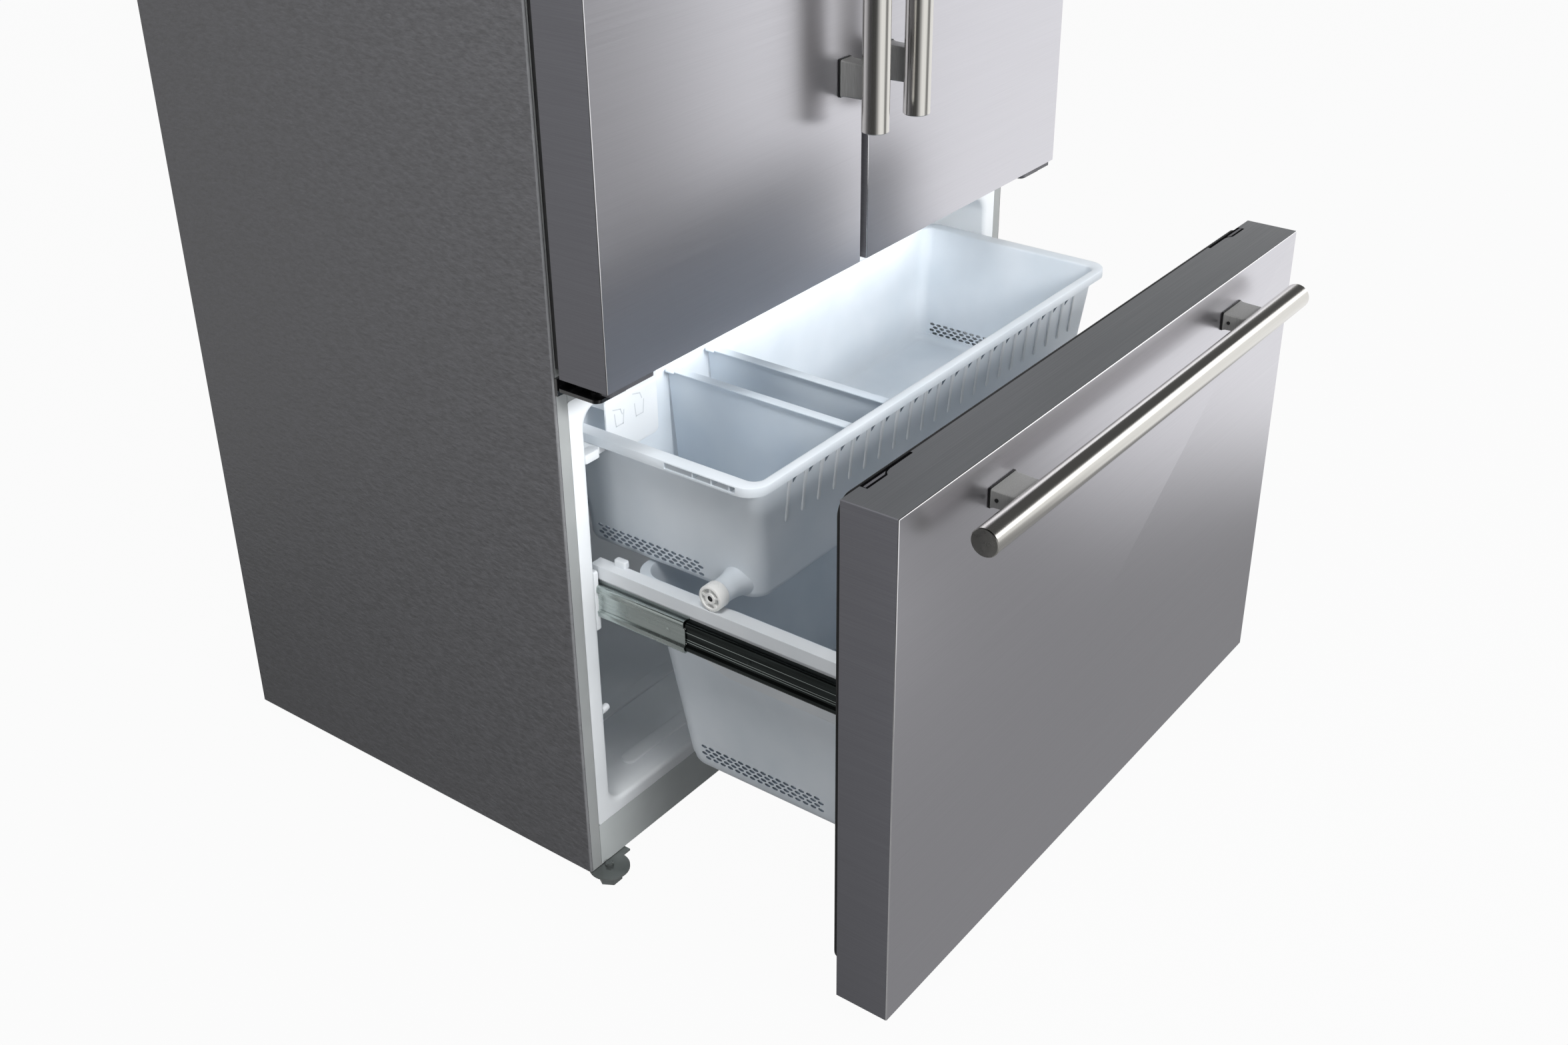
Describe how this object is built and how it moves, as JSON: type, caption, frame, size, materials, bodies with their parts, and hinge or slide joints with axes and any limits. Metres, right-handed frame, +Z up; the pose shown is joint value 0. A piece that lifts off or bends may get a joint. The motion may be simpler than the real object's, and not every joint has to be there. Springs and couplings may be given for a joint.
{
  "type": "bottom freezer refrigerator",
  "caption": "Bottom freezer refrigerator with French doors and an open pull-out freezer drawer that carries a deep basket under a sliding divided basket",
  "frame": {"origin": "on the floor, under the middle of the whole part as it stands with its drawer open", "axes": "+X to the right as one faces the doors, +Y to the back, +Z up"},
  "size_m": [0.91, 1.0977, 1.78],
  "materials": {
    "case_enamel": "dark grey pebbled enamel",
    "flange_enamel": "smooth grey enamel",
    "stainless": "fine brushed",
    "handle_stainless": "brushed along the bar",
    "liner_white": "smooth vacuum formed sheet",
    "clear_bin": "clear with a blue cast",
    "white_plastic": "satin moulding",
    "gasket_black": "soft matt seal",
    "foam": "rigid foam behind the walls",
    "zinc": "zinc plated pressing",
    "dark_plastic": "satin moulding",
    "black_steel": "glossy black enamel",
    "shelf_glass": "toughened sheet",
    "tube_aluminium": "bare tube and fins",
    "galvanised": "galvanised sheet",
    "wire_steel": "bright wire",
    "roller_nylon": "moulded nylon"
  },
  "bodies": {
    "cabinet": {"outer_case": "case_enamel", "rear_panel": "galvanised", "foam_insulation": "foam", "fridge_liner": "liner_white", "freezer_liner": "liner_white", "mullion_rail": "flange_enamel", "toe_rail": "flange_enamel", "base_frame": "galvanised", "machine_cover": "galvanised", "compressor": "black_steel", "condenser_coil": "tube_aluminium", "fan_shroud": "dark_plastic", "evaporator": "tube_aluminium", "evaporator_cover": "liner_white", "air_duct": "white_plastic", "shelf_ladders": "flange_enamel", "shelf_frames": "white_plastic", "shelf_glass": "shelf_glass", "crisper_cover": "white_plastic", "control_housing": "white_plastic", "hinge_brackets": "black_steel", "hinge_covers": "dark_plastic", "slide_outer": "zinc", "ice_maker": "white_plastic", "ice_maker_cover": "white_plastic", "power_inlet": "dark_plastic"},
    "left_door": {"door_left_skin": "stainless", "door_left_inner": "liner_white", "door_left_gasket": "gasket_black", "door_left_handle": "handle_stainless", "door_left_bins": "clear_bin", "door_left_caps": "dark_plastic"},
    "right_door": {"door_right_skin": "stainless", "door_right_inner": "liner_white", "door_right_gasket": "gasket_black", "door_right_handle": "handle_stainless", "door_right_bins": "clear_bin", "door_right_caps": "dark_plastic"},
    "flap": {"mullion_flap": "dark_plastic"},
    "drawer": {"drawer_skin": "stainless", "drawer_inner": "liner_white", "drawer_gasket": "gasket_black", "drawer_handle": "handle_stainless", "drawer_cap": "dark_plastic", "drawer_frame": "white_plastic", "slide_inner": "zinc", "lower_basket": "clear_bin"},
    "slide_carrier": {"slide_middle": "zinc"},
    "sliding_basket": {"upper_basket": "clear_bin", "basket_dividers": "clear_bin"},
    "basket_wheels": {"basket_rollers": "roller_nylon"},
    "left_crisper": {"crisper_left": "clear_bin"},
    "right_crisper": {"crisper_right": "clear_bin"},
    "left_foot": {"levelling_foot_left": "zinc"},
    "right_foot": {"levelling_foot_right": "zinc"},
    "front_wheels": {"front_rollers": "roller_nylon"},
    "rear_wheels": {"rear_rollers": "roller_nylon"},
    "machine_fan": {"condenser_fan": "dark_plastic"},
    "cold_fan": {"evaporator_fan": "dark_plastic"},
    "ice_arm": {"bail_arm": "wire_steel"}
  },
  "joints": [
    {"name": "left_door_hinge", "type": "hinge", "parent": "cabinet", "child": "left_door", "pos_m": [-0.436, -0.10912, 1.217], "axis": [0, 0, -1], "range_deg": [0, 110]},
    {"name": "right_door_hinge", "type": "hinge", "parent": "cabinet", "child": "right_door", "pos_m": [0.436, -0.10912, 1.217], "axis": [0, 0, 1], "range_deg": [0, 110]},
    {"name": "mullion_flap_hinge", "type": "hinge", "parent": "left_door", "child": "flap", "pos_m": [-0.027, -0.05112, 1.2], "axis": [0, 0, -1], "range_deg": [0, 90]},
    {"name": "freezer_drawer_slide", "type": "slide", "parent": "cabinet", "child": "drawer", "axis": [0, -1, 0], "range_m": [-0.353, 0.04]},
    {"name": "slide_carrier_travel", "type": "slide", "parent": "cabinet", "child": "slide_carrier", "axis": [0, -1, 0], "range_m": [-0.1766, 0.0201]},
    {"name": "upper_basket_slide", "type": "slide", "parent": "cabinet", "child": "sliding_basket", "axis": [0, -1, 0], "range_m": [-0.214, 0.0243]},
    {"name": "basket_roller_spin", "type": "hinge", "parent": "sliding_basket", "child": "basket_wheels", "pos_m": [0, -0.21713, 0.4438], "axis": [-1, 0, 0], "range_deg": [-520, 65]},
    {"name": "left_crisper_slide", "type": "slide", "parent": "cabinet", "child": "left_crisper", "axis": [0, -1, 0], "range_m": [0, 0.045]},
    {"name": "right_crisper_slide", "type": "slide", "parent": "cabinet", "child": "right_crisper", "axis": [0, -1, 0], "range_m": [0, 0.045]},
    {"name": "left_foot_screw", "type": "hinge", "parent": "cabinet", "child": "left_foot", "pos_m": [-0.43, -0.06913, 0], "axis": [0, 0, 1], "range_deg": [-180, 180]},
    {"name": "right_foot_screw", "type": "hinge", "parent": "cabinet", "child": "right_foot", "pos_m": [0.43, -0.06913, 0], "axis": [0, 0, 1], "range_deg": [-180, 180]},
    {"name": "front_roller_spin", "type": "hinge", "parent": "cabinet", "child": "front_wheels", "pos_m": [0, 0.01388, 0.0255], "axis": [1, 0, 0], "continuous": true},
    {"name": "rear_roller_spin", "type": "hinge", "parent": "cabinet", "child": "rear_wheels", "pos_m": [0, 0.44888, 0.02], "axis": [1, 0, 0], "continuous": true},
    {"name": "condenser_fan_spin", "type": "hinge", "parent": "cabinet", "child": "machine_fan", "pos_m": [0.001, 0.44888, 0.137], "axis": [1, 0, 0], "continuous": true},
    {"name": "evaporator_fan_spin", "type": "hinge", "parent": "cabinet", "child": "cold_fan", "pos_m": [0, 0.31288, 0.572], "axis": [0, 1, 0], "continuous": true},
    {"name": "bail_arm_swing", "type": "hinge", "parent": "cabinet", "child": "ice_arm", "pos_m": [-0.254, 0.09388, 0.608], "axis": [0, 1, 0], "range_deg": [-20, 20]}
  ],
  "couplings": [
    {"joint": "slide_carrier_travel", "follows": "freezer_drawer_slide", "ratio": 0.5},
    {"joint": "upper_basket_slide", "follows": "freezer_drawer_slide", "ratio": 0.606},
    {"joint": "basket_roller_spin", "follows": "freezer_drawer_slide", "rad_per_m": 25.419}
  ]
}
